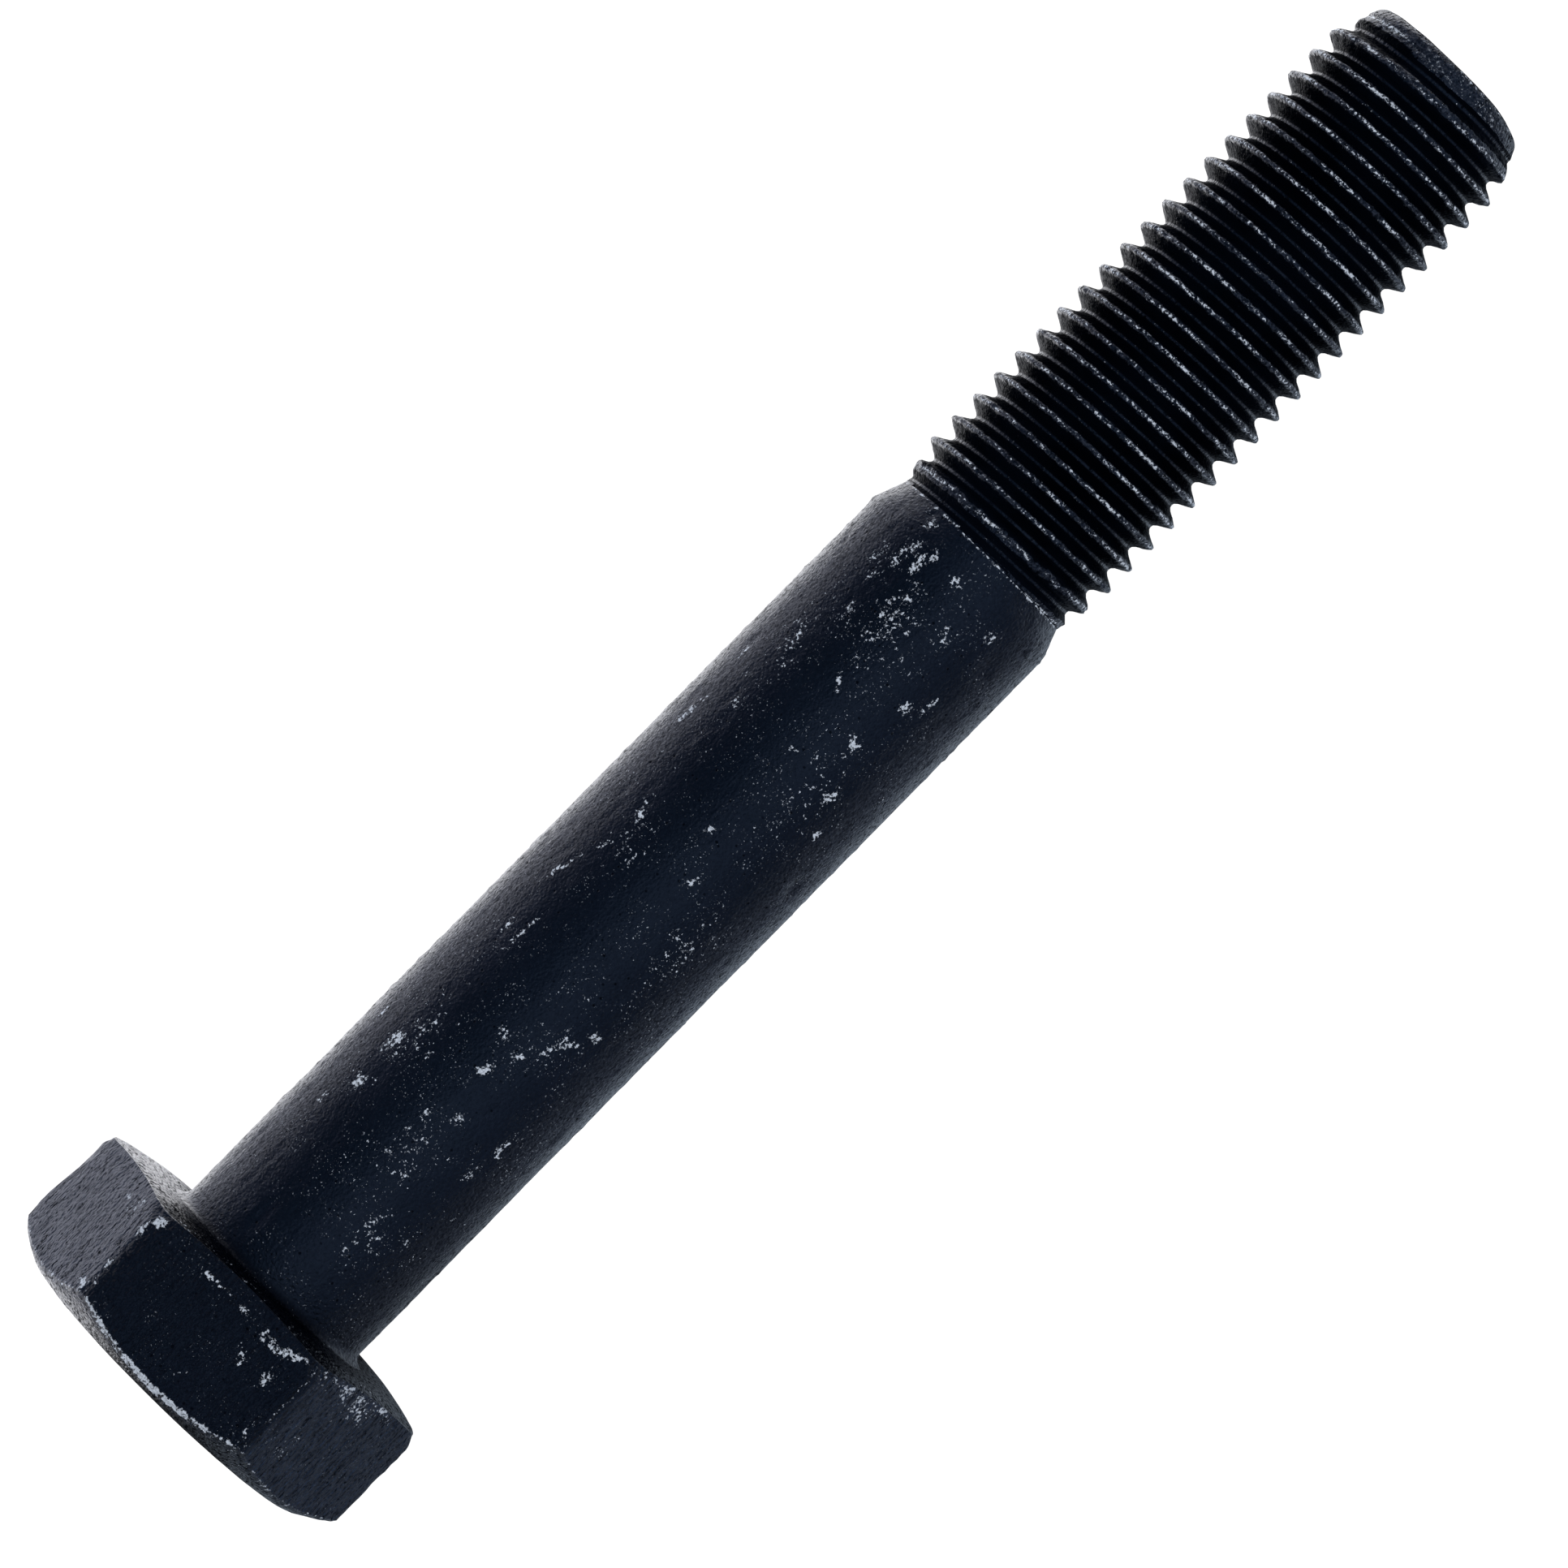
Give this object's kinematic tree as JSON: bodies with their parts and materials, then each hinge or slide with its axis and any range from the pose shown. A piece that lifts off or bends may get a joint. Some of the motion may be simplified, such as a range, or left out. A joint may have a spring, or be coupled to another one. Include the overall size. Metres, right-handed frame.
{
  "type": "hex bolt",
  "caption": "Long hexagon head bolt, partly threaded, with a plain shank, a necked shoulder before the rolled thread and a chamfered point.",
  "frame": {"origin": "centre of the bearing face under the head, on the bolt's axis", "axes": "+X along the bolt's axis from the head to the point, +Z square to one wrench flat, +Y towards the corner between two flats"},
  "size_m": [0.1524, 0.0364, 0.032],
  "materials": {
    "black_steel": "blackened (phosphate and oil) forged steel, satin sheen, lighter worn edges"
  },
  "bodies": {
    "root": {"hex_bolt": "black_steel"}
  },
  "joints": []
}
